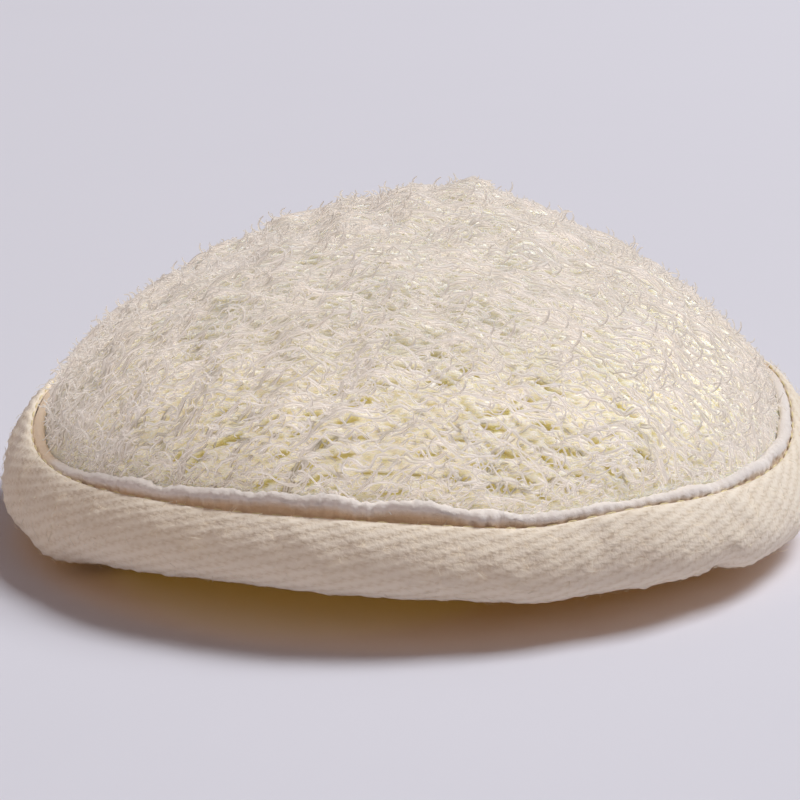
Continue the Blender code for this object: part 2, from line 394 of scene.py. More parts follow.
def outward(made: Object) -> Object:
    """Turns faces away from the origin on the whole, by their volume's sign.

    Args:
        made: A closed body, or a sheet that domes over the origin.

    Returns:
        The same object.
    """
    mesh = made.data
    mesh.calc_loop_triangles()
    corners = np.empty(len(mesh.loop_triangles) * 3, np.int32)
    mesh.loop_triangles.foreach_get("vertices", corners)
    places = np.empty(len(mesh.vertices) * 3)
    mesh.vertices.foreach_get("co", places)
    a, b, c = places.reshape(-1, 3)[corners.reshape(-1, 3)].transpose(1, 0, 2)
    if np.einsum("ij,ij->i", a, np.cross(b, c)).sum() < 0:
        mesh.flip_normals()
    return made


def lengths_along(path: Array) -> Array:
    """The length along a line at each of its points."""
    return np.concatenate(([0.0], np.cumsum(np.linalg.norm(np.diff(path, axis=0), axis=1))))


def closed_spline(points: Pairs, count: int) -> Array:
    """Even steps along a smooth closed curve through points.

    Args:
        points: The points it runs through, in order.
        count: How many places to give.

    Returns:
        The places.
    """
    points = np.array(points)
    before, after, beyond = (np.roll(points, step, axis=0) for step in (1, -1, -2))
    steps_a_span = 24
    share = np.linspace(0, 1, steps_a_span, endpoint=False)[:, None, None]
    curve = 0.5 * (
        2 * points
        + (after - before) * share
        + (2 * before - 5 * points + 4 * after - beyond) * share**2
        + (3 * points - before - 3 * after + beyond) * share**3
    )
    dense = curve.transpose(1, 0, 2).reshape(-1, 2)
    dense = np.vstack((dense, dense[:1]))
    lengths = lengths_along(dense)
    return resampled(dense, lengths, np.linspace(0, lengths[-1], count, endpoint=False))


def resampled(path: Array, lengths: Array, wanted: Array) -> Array:
    """The places at wanted lengths along a line."""
    return np.stack([np.interp(wanted, lengths, path[:, i]) for i in range(2)], axis=-1)


def directions(path: Array) -> tuple[Array, Array]:
    """The way along a closed line at each point, and the way to the right of that.

    Args:
        path: The line's places, in order.

    Returns:
        Two arrays of unit directions, one for each way.
    """
    along = np.roll(path, -1, axis=0) - np.roll(path, 1, axis=0)
    along /= np.linalg.norm(along, axis=1, keepdims=True)
    return along, np.stack((along[:, 1], -along[:, 0]), axis=-1)


def runs(flags: Array) -> list[slice]:
    """The stretches where flags are true."""
    changes = np.flatnonzero(np.diff(np.concatenate(([0], flags.astype(int), [0]))))
    return [slice(int(a), int(b)) for a, b in zip(changes[::2], changes[1::2])]


class Tree:
    """A node tree in the making, with short ways to add and join nodes."""

    def __init__(self, tree: bpy.types.NodeTree) -> None:
        """Starts from an empty tree."""
        self.tree = tree
        tree.nodes.clear()

    def node(self, kind: str, **values: object) -> bpy.types.Node:
        """Adds a node.

        Args:
            kind: The node's type name.
            **values: First the node's own settings, which start with a small letter. Then a
                value or an output socket for each input, by its name, with _ for spaces, or by
                its place, as i0, i1 and so on.

        Returns:
            The new node.
        """
        node = self.tree.nodes.new(kind)
        for name, value in values.items():
            if name[1:].isdigit():
                socket = node.inputs[int(name[1:])]
            elif name[0].islower():
                setattr(node, name, value)
                continue
            else:
                socket = node.inputs[name.replace("_", " ")]
            if isinstance(value, Socket):
                self.tree.links.new(value, socket)
            else:
                opaque = socket.type == "RGBA" and len(value) == 3
                socket.default_value = (*value, 1.0) if opaque else value
        return node

    def add(self, kind: str, **values: object) -> Socket | None:
        """Adds a node and gives its first output in use."""
        return next((s for s in self.node(kind, **values).outputs if s.enabled), None)

    def math(self, operation: str, *values: object) -> Socket:
        """A Math node's output."""
        inputs = {f"i{place}": value for place, value in enumerate(values)}
        return self.add("ShaderNodeMath", operation=operation, **inputs)

    def vector(self, operation: str, first: object, second: object) -> Socket:
        """A Vector Math node's output."""
        return self.add("ShaderNodeVectorMath", operation=operation, i0=first, i1=second)

    def mix(self, share: object, first: object, second: object, blend: str = "MIX") -> Socket:
        """A mix of two colours."""
        return self.add(
            "ShaderNodeMix", data_type="RGBA", blend_type=blend, Factor=share, A=first, B=second
        )

    def attribute(self, name: str) -> Socket:
        """One of the mesh's own attributes, in a material."""
        return self.node("ShaderNodeAttribute", attribute_name=name).outputs["Fac"]

    def place(self) -> Socket:
        """Places in the object's own frame, in a material."""
        return self.node("ShaderNodeTexCoord").outputs["Object"]

    def noise(self, place: Socket, scale: object, detail: float, rough: float = 0.5) -> Socket:
        """Noise from 0 to 1."""
        return self.add(
            "ShaderNodeTexNoise", Vector=place, Scale=scale, Detail=detail, Roughness=rough
        )

    def bump(self, height: Socket, strength: float, depth: float) -> Socket:
        """A normal bent by a height."""
        return self.add("ShaderNodeBump", Height=height, Strength=strength, Distance=depth)

    def ramp(self, value: Socket, *stops: tuple[float, Triple]) -> Socket:
        """A colour that runs through three stops, each a place and a colour.

        Args:
            value: What the colour depends on.
            *stops: The stops, in order.

        Returns:
            The colour.
        """
        ramp = self.node("ShaderNodeValToRGB", Fac=value)
        elements = ramp.color_ramp.elements
        for element, (place, colour) in zip(elements, (stops[0], stops[2])):
            element.position, element.color = place, (*colour, 1.0)
        elements.new(stops[1][0]).color = (*stops[1][1], 1.0)
        return ramp.outputs[0]

    def spread(self, kind: str, low: object, high: object, seed: Socket) -> Socket:
        """A random value for each point or copy."""
        return self.add("FunctionNodeRandomValue", data_type=kind, Min=low, Max=high, Seed=seed)

    def hand_out(self, geometry: Socket, finish: Socket) -> bpy.types.NodeTree:
        """Ends a Geometry Nodes group in one plain mesh with its finish.

        Args:
            geometry: What the group has made.
            finish: Its material.

        Returns:
            The finished tree.
        """
        whole = self.add("GeometryNodeRealizeInstances", i0=geometry)
        dressed = self.add("GeometryNodeSetMaterial", i0=whole, Material=finish)
        self.node("NodeGroupOutput", i0=dressed)
        return self.tree


def new_group(name: str, kind: str, inputs: dict[str, object], outputs: dict[str, str]) -> Tree:
    """A node group with its sockets.

    Args:
        name: The group's name.
        kind: ShaderNodeTree or GeometryNodeTree.
        inputs: For each input's name its default value, or its kind where it has none.
        outputs: For each output's name its kind.

    Returns:
        The tree to fill.
    """
    group = bpy.data.node_groups.new(name, kind)
    kinds = {float: "Float", int: "Int", tuple: "Color"}
    for label, given in inputs.items():
        socket_type = "NodeSocket" + kinds.get(type(given), str(given))
        made = group.interface.new_socket(label, in_out="INPUT", socket_type=socket_type)
        if type(given) in kinds:
            made.default_value = given
    for label, socket_kind in outputs.items():
        group.interface.new_socket(
            label, in_out="OUTPUT", socket_type="NodeSocket" + socket_kind
        )
    return Tree(group)


def start_material(name: str) -> tuple[Material, Tree]:
    """A new node material and its empty tree.

    Args:
        name: The material's name.

    Returns:
        The material and its tree.
    """
    made = bpy.data.materials.new(name)
    made.use_nodes = True
    return made, Tree(made.node_tree)


def finish_material(work: Tree, through: float = 0.0, **inputs: object) -> None:
    """Ends a material in a Principled shader.

    Args:
        work: The material's tree.
        through: The share of light that passes through the thin piece.
        **inputs: The shader's inputs.
    """
    surface = work.add("ShaderNodeBsdfPrincipled", **inputs)
    if through > 0:
        colour, normal = inputs["Base_Color"], inputs["Normal"]
        lit = work.add("ShaderNodeBsdfTranslucent", Color=colour, Normal=normal)
        surface = work.add("ShaderNodeMixShader", i0=through, i1=surface, i2=lit)
    work.node("ShaderNodeOutputMaterial", Surface=surface)


class ShaderEffects:
    """Node groups that several materials share."""

    def __init__(self) -> None:
        """Builds each group once."""
        self.mottle = self._mottle()
        self.weave = self._weave()

    def mottled(
        self, work: Tree, fair: object, dull: object, patch: float, share: float = 1.0
    ) -> Socket:
        """A colour that drifts between fair and dull in patches.

        Args:
            work: The material's tree.
            fair: The clean colour.
            dull: The colour of the patches.
            patch: About how many patches there are to a metre.
            share: How strongly the patches show.

        Returns:
            The colour.
        """
        return work.add(
            "ShaderNodeGroup", node_tree=self.mottle, Fair=fair, Dull=dull, Patch=patch, Share=share
        )

    @staticmethod
    def _mottle() -> bpy.types.NodeTree:
        """Uneven dye and growth: a colour that drifts between two over two sizes of patch.

        Returns:
            The node group.
        """
        grey = (0.5, 0.5, 0.5, 1.0)
        inputs = {"Fair": grey, "Dull": grey, "Patch": 120.0, "Share": 0.5}
        work = new_group("Mottle", "ShaderNodeTree", inputs, {"Color": "Color"})
        given = work.node("NodeGroupInput").outputs
        place = work.place()
        wide = work.noise(place, given["Patch"], 2.0)
        fine = work.noise(place, work.math("MULTIPLY", given["Patch"], 7.3), 3.0)
        both = work.math("MULTIPLY_ADD", fine, 0.4, 0.3)
        mask = work.math("MULTIPLY", wide, work.math("MULTIPLY", both, 2.0))
        share = work.math("MINIMUM", work.math("MULTIPLY", mask, given["Share"]), 1.0)
        work.node("NodeGroupOutput", Color=work.mix(share, given["Fair"], given["Dull"]))
        return work.tree

    @staticmethod
    def _weave() -> bpy.types.NodeTree:
        """Slanted cords of a twill and the yarns that cross them, on a UV map in millimetres.

        Returns:
            The node group.
        """
        inputs = {"Pitch": 1.4, "Lean": 0.35, "Cell": 1.15, "Uneven": 0.8}
        outputs = {"Ridge": "Float", "Yarn": "Float"}
        work = new_group("Twill weave", "ShaderNodeTree", inputs, outputs)
        given = work.node("NodeGroupInput").outputs
        place = work.add("ShaderNodeUVMap")
        stray = work.node("ShaderNodeTexNoise", Vector=place, Scale=0.9, Detail=2.0)
        off = work.vector("SUBTRACT", stray.outputs["Color"], (0.5, 0.5, 0.5))
        amount = work.add("ShaderNodeCombineXYZ", **dict.fromkeys("XYZ", given["Uneven"]))
        place = work.vector("ADD", place, work.vector("MULTIPLY", off, amount))
        turn = work.add("ShaderNodeCombineXYZ", Z=work.math("MULTIPLY", given["Lean"], -1.0))
        turned = work.add("ShaderNodeMapping", Vector=place, Rotation=turn)
        run, rise = work.node("ShaderNodeSeparateXYZ", i0=turned).outputs[:2]
        ridges = work.math("DIVIDE", rise, given["Pitch"])
        number = work.math("ROUND", ridges)
        cells = work.math("DIVIDE", run, given["Cell"])
        cells = work.math("MULTIPLY_ADD", number, 0.37, cells)
        cells = work.math("MULTIPLY_ADD", work.math("SUBTRACT", ridges, number), 0.9, cells)
        waves = {}
        for name, phase in (("Ridge", ridges), ("Yarn", cells)):
            wave = work.math("COSINE", work.math("MULTIPLY", phase, TAU))
            waves[name] = work.math("MULTIPLY_ADD", wave, 0.5, 0.5)
        work.node("NodeGroupOutput", **waves)
        return work.tree


@dataclass(frozen=True)
class FibreFinish:
    """Dry luffa fibre, with painted shade: yellow where a strand lies deep, ivory where it stands
    high.
    """

    name: str
    deep: Triple = (0.66, 0.63, 0.52)
    middle: Triple = (0.74, 0.70, 0.655)
    fresh: Triple = (0.84, 0.80, 0.775)
    roughness: float = 0.6
    through: float = 0.45

    def build(self, effects: ShaderEffects) -> Material:
        """Makes the material, which reads the strand's own shade attribute.

        Args:
            effects: The shared node groups.

        Returns:
            The material.
        """
        made, work = start_material(self.name)
        # The shade attribute carries painted shade: low for deep strands and roots, high for raised
        # strands and tips.
        stops = (0.0, self.deep), (0.5, self.middle), (1.0, self.fresh)
        colour = work.ramp(work.attribute("shade"), *stops)
        dull = work.mix(1.0, colour, (0.97, 0.955, 0.92), "MULTIPLY")
        grain = work.noise(work.place(), 5200.0, 2.0)
        finish_material(
            work,
            through=self.through,
            Base_Color=effects.mottled(work, colour, dull, 150.0, 1.1),
            Roughness=work.math("MULTIPLY_ADD", grain, 0.3, self.roughness - 0.15),
            Normal=work.bump(grain, 0.3, 0.05 * MM),
            Specular_IOR_Level=0.35,
        )
        return made


@dataclass(frozen=True)
class BodyFinish:
    """The luffa's body: ivory between its holes, with painted shade in olive yellow deep in them."""

    name: str = "luffa_body"
    hole: Triple = (0.57, 0.51, 0.21)
    slope: Triple = (0.64, 0.60, 0.44)
    ivory: Triple = (0.67, 0.63, 0.54)
    low_tint: Triple = (1.15, 1.14, 1.10)
    crown_tint: Triple = (0.76, 0.75, 0.755)

    def build(self) -> Material:
        """Makes the material: the shade attribute, over stretched noise as fine strands.

        The crown attribute darkens the top of the dome with painted shade, and the painted lighting
        tint lightens it lower down.

        Returns:
            The material.
        """
        made, work = start_material(self.name)
        turned = work.add("ShaderNodeMapping", Vector=work.place(), Scale=(0.22, 1.0, 1.0))
        noise = work.noise(turned, 1700.0, 2.0)
        strands = work.math("ABSOLUTE", work.math("SUBTRACT", noise, 0.5))
        strands = work.math("SUBTRACT", 1.0, work.math("MULTIPLY", strands, 6.0))
        strands = work.add("ShaderNodeClamp", i0=strands)
        lit = work.math("MULTIPLY_ADD", strands, 0.25, 0.80)
        tone = work.math("MULTIPLY", work.attribute("shade"), lit)
        # Painted shade: the colour runs from ivory on the surface to olive yellow deep in the holes.
        colour = work.ramp(tone, (0.0, self.hole), (0.42, self.slope), (0.9, self.ivory))
        # Painted light and shade by height: darker on the top of the dome, lighter on its lower
        # parts.
        tint = work.mix(work.attribute("crown"), self.low_tint, self.crown_tint)
        finish_material(
            work,
            Base_Color=work.mix(1.0, colour, tint, "MULTIPLY"),
            Roughness=work.math("MULTIPLY_ADD", strands, -0.15, 0.8),
            Normal=work.bump(strands, 0.7, 0.2 * MM),
            Subsurface_Weight=1.0,
            Subsurface_Radius=(1.0, 0.9, 0.6),
            Subsurface_Scale=5.0 * MM,
        )
        return made


@dataclass(frozen=True)
class TapeFinish:
    """Unbleached cotton twill, with painted shade between its cords and in the notches between its
    yarns.
    """

    name: str = "cotton_twill"
    fair: Triple = (0.96, 0.86, 0.735)
    dull: Triple = (0.91, 0.785, 0.63)
    groove: Triple = (0.80, 0.73, 0.63)

    def build(self, effects: ShaderEffects) -> Material:
        """Makes the material on the tape's own UV map.

        Args:
            effects: The shared node groups.

        Returns:
            The material.
        """
        made, work = start_material(self.name)
        weave = work.node("ShaderNodeGroup", node_tree=effects.weave).outputs
        notch = work.math("POWER", work.math("SUBTRACT", 1.0, weave["Yarn"]), 1.3)
        notch = work.math("MULTIPLY_ADD", notch, 0.62, 0.30)
        # Painted shade: the mark darkens the cloth between the cords, most in the notches.
        mark = work.math("MULTIPLY", work.math("SUBTRACT", 1.0, weave["Ridge"]), notch)
        lit = work.math("SUBTRACT", 1.0, work.math("MULTIPLY", mark, 0.5))
        cloth = effects.mottled(work, self.fair, self.dull, 90.0)
        lint = work.noise(work.place(), 2300.0, 4.0)
        finish_material(
            work,
            Base_Color=work.mix(work.math("MULTIPLY", mark, 0.7), cloth, self.groove, "MULTIPLY"),
            Roughness=work.math("MULTIPLY_ADD", lint, 0.2, 0.75),
            Normal=work.bump(work.math("MULTIPLY_ADD", lint, 1.1, lit), 0.8, 0.13 * MM),
            Sheen_Weight=0.25,
            Sheen_Roughness=0.5,
        )
        return made


@dataclass(frozen=True)
class ClothFinish:
    """A plain soft cloth or thread, with lint and an uneven tone."""

    name: str
    fair: Triple
    dull: Triple
    lint_scale: float
    lint_depth: float
    low_tint: Triple | None = None

    def build(self, effects: ShaderEffects) -> Material:
        """Makes the material, with painted shade where the low attribute says, if it has a painted
        lighting tint.

        Args:
            effects: The shared node groups.

        Returns:
            The material.
        """
        made, work = start_material(self.name)
        colour = effects.mottled(work, self.fair, self.dull, 200.0)
        if self.low_tint is not None:
            # Painted shade, as strong as the low attribute says.
            colour = work.mix(work.attribute("low"), colour, self.low_tint, "MULTIPLY")
        lint = work.noise(work.place(), self.lint_scale, 4.0, 0.6)
        finish_material(
            work,
            Base_Color=colour,
            Roughness=work.math("MULTIPLY_ADD", lint, 0.2, 0.75),
            Normal=work.bump(lint, 0.7, self.lint_depth),
            Sheen_Weight=0.3,
            Sheen_Roughness=0.6,
        )
        return made


class NodeTools:
    """Geometry Nodes trees that make tubes, scattered curls and rows of stitches."""

    def __init__(self) -> None:
        """Builds each tree once."""
        self.strands = self._strands()
        self.scatter = self._scatter()
        self.stitches = self._stitches()

    @staticmethod
    def _start(name: str, **inputs: object) -> tuple[Tree, bpy.types.bpy_prop_collection]:
        """A tree that takes a geometry, a finish and more inputs, with what it is given.

        Args:
            name: The tree's name.
            **inputs: More inputs, each with its default value or kind.

        Returns:
            The tree and the outputs of its input node.
        """
        inputs = {"Geometry": "Geometry", **inputs, "Finish": "Material"}
        work = new_group(name, "GeometryNodeTree", inputs, {"Geometry": "Geometry"})
        return work, work.node("NodeGroupInput").outputs

    @classmethod
    def _strands(cls) -> bpy.types.NodeTree:
        """Edges to thin tubes, as thick as the radius attribute says.

        Returns:
            The tree.
        """
        work, given = cls._start("Strands to tubes", Sides=3)
        line = work.add("GeometryNodeMeshToCurve", Mesh=given["Geometry"])
        radius = work.add("GeometryNodeInputNamedAttribute", data_type="FLOAT", Name="radius_m")
        ring = work.add("GeometryNodeCurvePrimitiveCircle", Resolution=given["Sides"], Radius=1.0)
        tube = work.add("GeometryNodeCurveToMesh", i0=line, i1=ring, Scale=radius, Fill_Caps=True)
        return work.hand_out(work.add("GeometryNodeSetShadeSmooth", i0=tube), given["Finish"])

    @classmethod
    def _scatter(cls) -> bpy.types.NodeTree:
        """Picks of a collection spread over a surface, leaning the way the strands run.

        Returns:
            The tree.
        """
        ranges = {"Swing": 1.0, "Smallest": 0.7, "Largest": 1.3}
        work, given = cls._start(
            "Scatter curls", Curls="Collection", Density=1.0e6, **ranges, Seed=1
        )
        seed = given["Seed"]
        share = work.add("GeometryNodeInputNamedAttribute", data_type="FLOAT", Name="cover")
        points = work.node(
            "GeometryNodeDistributePointsOnFaces",
            Mesh=given["Geometry"],
            Density=work.math("MULTIPLY", share, given["Density"]),
            Seed=seed,
        ).outputs
        level = work.add(
            "FunctionNodeAlignRotationToVector",
            axis="X",
            pivot_axis="Z",
            Rotation=points["Rotation"],
            Vector=(1.0, 0.0, 0.0),
        )
        back = work.math("MULTIPLY", given["Swing"], -1.0)
        swing = work.spread("FLOAT", back, given["Swing"], seed)
        flip = work.math("MULTIPLY", work.spread("INT", 0, 1, seed), math.pi)
        tilt = work.add("ShaderNodeCombineXYZ", Z=work.math("ADD", swing, flip))
        spin = work.add("FunctionNodeEulerToRotation", i0=tilt)
        turned = work.add(
            "FunctionNodeRotateRotation", rotation_space="LOCAL", i0=level, i1=spin
        )
        picks = work.add(
            "GeometryNodeCollectionInfo",
            Collection=given["Curls"],
            Separate_Children=True,
            Reset_Children=True,
        )
        copies = work.add(
            "GeometryNodeInstanceOnPoints",
            Points=points["Points"],
            Instance=picks,
            Pick_Instance=True,
            Rotation=turned,
            Scale=work.spread("FLOAT", given["Smallest"], given["Largest"], seed),
        )
        return work.hand_out(copies, given["Finish"])

    @classmethod
    def _stitches(cls) -> bpy.types.NodeTree:
        """One stitch copied at even steps along a line, lying the way it runs.

        Returns:
            The tree.
        """
        work, given = cls._start("Row of stitches", Stitch="Object", Step=2.4 * MM, Seed=5)
        line = work.add("GeometryNodeMeshToCurve", Mesh=given["Geometry"])
        points = work.node(
            "GeometryNodeCurveToPoints", mode="LENGTH", Curve=line, Length=given["Step"]
        ).outputs
        lying = work.add(
            "FunctionNodeAlignRotationToVector", axis="X", Vector=points["Tangent"]
        )
        stitch = work.node("GeometryNodeObjectInfo", Object=given["Stitch"]).outputs["Geometry"]
        low, high = (0.95, 0.92, 0.9), (1.05, 1.08, 1.05)
        copies = work.add(
            "GeometryNodeInstanceOnPoints",
            Points=points["Points"],
            Instance=stitch,
            Rotation=lying,
            Scale=work.spread("FLOAT_VECTOR", low, high, given["Seed"]),
        )
        return work.hand_out(copies, given["Finish"])


def run_tree(host: Object, tree: bpy.types.NodeTree, **values: object) -> Object:
    """Runs a tree on an object and keeps the result as its plain mesh.

    Args:
        host: The object that the tree works on.
        tree: A Geometry Nodes tree.
        **values: The tree's inputs by name.

    Returns:
        The same object.
    """
    modifier = host.modifiers.new(tree.name, "NODES")
    modifier.node_group = tree
    for item in tree.interface.items_tree:
        if item.in_out == "INPUT" and item.name in values:
            modifier[item.identifier] = values[item.name]
    graph = bpy.context.evaluated_depsgraph_get()
    graph.update()
    made = bpy.data.meshes.new_from_object(
        host.evaluated_get(graph), preserve_all_data_layers=True, depsgraph=graph
    )
    host.modifiers.remove(modifier)
    old, made.name = host.data, host.name
    host.data = made
    bpy.data.meshes.remove(old)
    return host


@dataclass
class StrandBundle:
    """Polylines in the making, each with a radius and a shade along it."""

    points: list[Array] = field(default_factory=list)
    radii: list[Array] = field(default_factory=list)
    shades: list[Array] = field(default_factory=list)

    def add(self, points: Array, radius: Array, shade: Array) -> None:
        """Adds one strand of at least two points.

        Args:
            points: Its places.
            radius: Its radius, along it or in all.
            shade: Its shade, likewise.
        """
        if len(points) > 1:
            self.points.append(points)
            self.radii.append(np.broadcast_to(radius, len(points)))
            self.shades.append(np.broadcast_to(shade, len(points)))

    def to_object(self, name: str) -> Object:
        """The strands as an object of loose edges.

        Args:
            name: The object's name.

        Returns:
            The object.
        """
        starts = np.cumsum([0] + [len(p) for p in self.points])
        edges = [[i, i + 1] for a, b in zip(starts, starts[1:]) for i in range(a, b - 1)]
        mesh = bpy.data.meshes.new(name)
        mesh.from_pydata(np.concatenate(self.points).tolist(), edges, [])
        store(mesh, "radius_m", np.concatenate(self.radii))
        store(mesh, "shade", np.concatenate(self.shades))
        return new_object(mesh)


@dataclass(frozen=True)
class NetLayer:
    """One layer of the luffa's net."""

    name: str
    depth: float
    heading: float
    spacing: float
    radius: float
    shade: float
    seed: int


class LensHoles:
    """Lens-shaped holes at uneven places of the unrolled dome, round which strands part."""

    def __init__(self, seed: int, radius: float, pitch: tuple[float, float], share: float) -> None:
        """Draws one hole, or none, in each cell of a grid.

        Args:
            seed: Fixes the draw.
            radius: The unrolled dome's radius.
            pitch: The cells' length and height.
            share: The share of cells that have a hole.
        """
        random = np.random.default_rng(seed)
        self.pitch = np.array(pitch)
        self.reach = np.ceil(radius / self.pitch).astype(int) + 3
        shape = tuple(2 * self.reach + 1)
        columns, rows = np.indices(shape)
        shift = 0.5 * ((rows % 2) == 0)
        jitter_u, jitter_v = random.uniform(-0.2, 0.2, (2, *shape))
        self.u = (columns - self.reach[0] + shift + jitter_u) * pitch[0]
        self.v = (rows - self.reach[1] + jitter_v) * pitch[1]
        patch = SoftNoise(seed + 1, 15 * MM).at(self.u, self.v)
        in_front = smooth_step(-29 * MM, -44 * MM, self.v)
        kept = random.uniform(0, 1, shape) < share * (0.04 + 1.5 * in_front) * (1 + 0.7 * patch)
        self.half_length = pitch[0] * random.uniform(0.28, 0.48, shape)
        height = random.uniform(0.12, 0.25, shape) * (0.75 + 0.35 * in_front)
        self.half_height = pitch[1] * height * kept
        self.tilt = random.normal(0, 0.14, shape)

    def _near(self, u: Array, v: Array) -> Iterator[tuple[Array, Array, Array]]:
        """Each neighbouring hole of each place, as offsets and half height.

        Args:
            u: Places along the disc's long way.
            v: Places across it.

        Returns:
            For each neighbour, the offsets and the half height.
        """
        row = np.round(v / self.pitch[1]).astype(int) + self.reach[1]
        column = np.round(u / self.pitch[0]).astype(int) + self.reach[0]
        for step_row in (-1, 0, 1):
            for step_column in (-1, 0, 1):
                i = np.clip(column + step_column, 0, self.u.shape[0] - 1)
                j = np.clip(row + step_row, 0, self.u.shape[1] - 1)
                du, dv = u - self.u[i, j], v - self.v[i, j]
                dv = dv - self.tilt[i, j] * du
                yield du / self.half_length[i, j], dv, self.half_height[i, j]

    def depth(self, u: Array, v: Array) -> Array:
        """How deep each place lies in a hole, from 0 outside to 1 in its middle.

        Args:
            u: Places along the disc's long way.
            v: Places across it.

        Returns:
            The depths.
        """
        deepest = np.zeros(np.shape(u))
        for du, dv, half in self._near(u, v):
            across = dv / np.maximum(half, 0.02 * MM)
            deepest = np.maximum(deepest, (half > 0) * (1 - du**2 - across**2))
        return deepest

    def parted(self, u: Array, v: Array) -> Array:
        """Where a strand through each place goes to keep out of the holes.

        Args:
            u: Places along the disc's long way.
            v: Places across it.

        Returns:
            The new v of each place.
        """
        push = np.zeros(np.shape(u))
        for du, dv, half in self._near(u, v):
            open_by = 1.05 * half * np.clip(1 - du**2, 0, None)
            push += np.where(dv < 0, -1, 1) * (np.hypot(dv, open_by) - np.abs(dv))
        return v + push


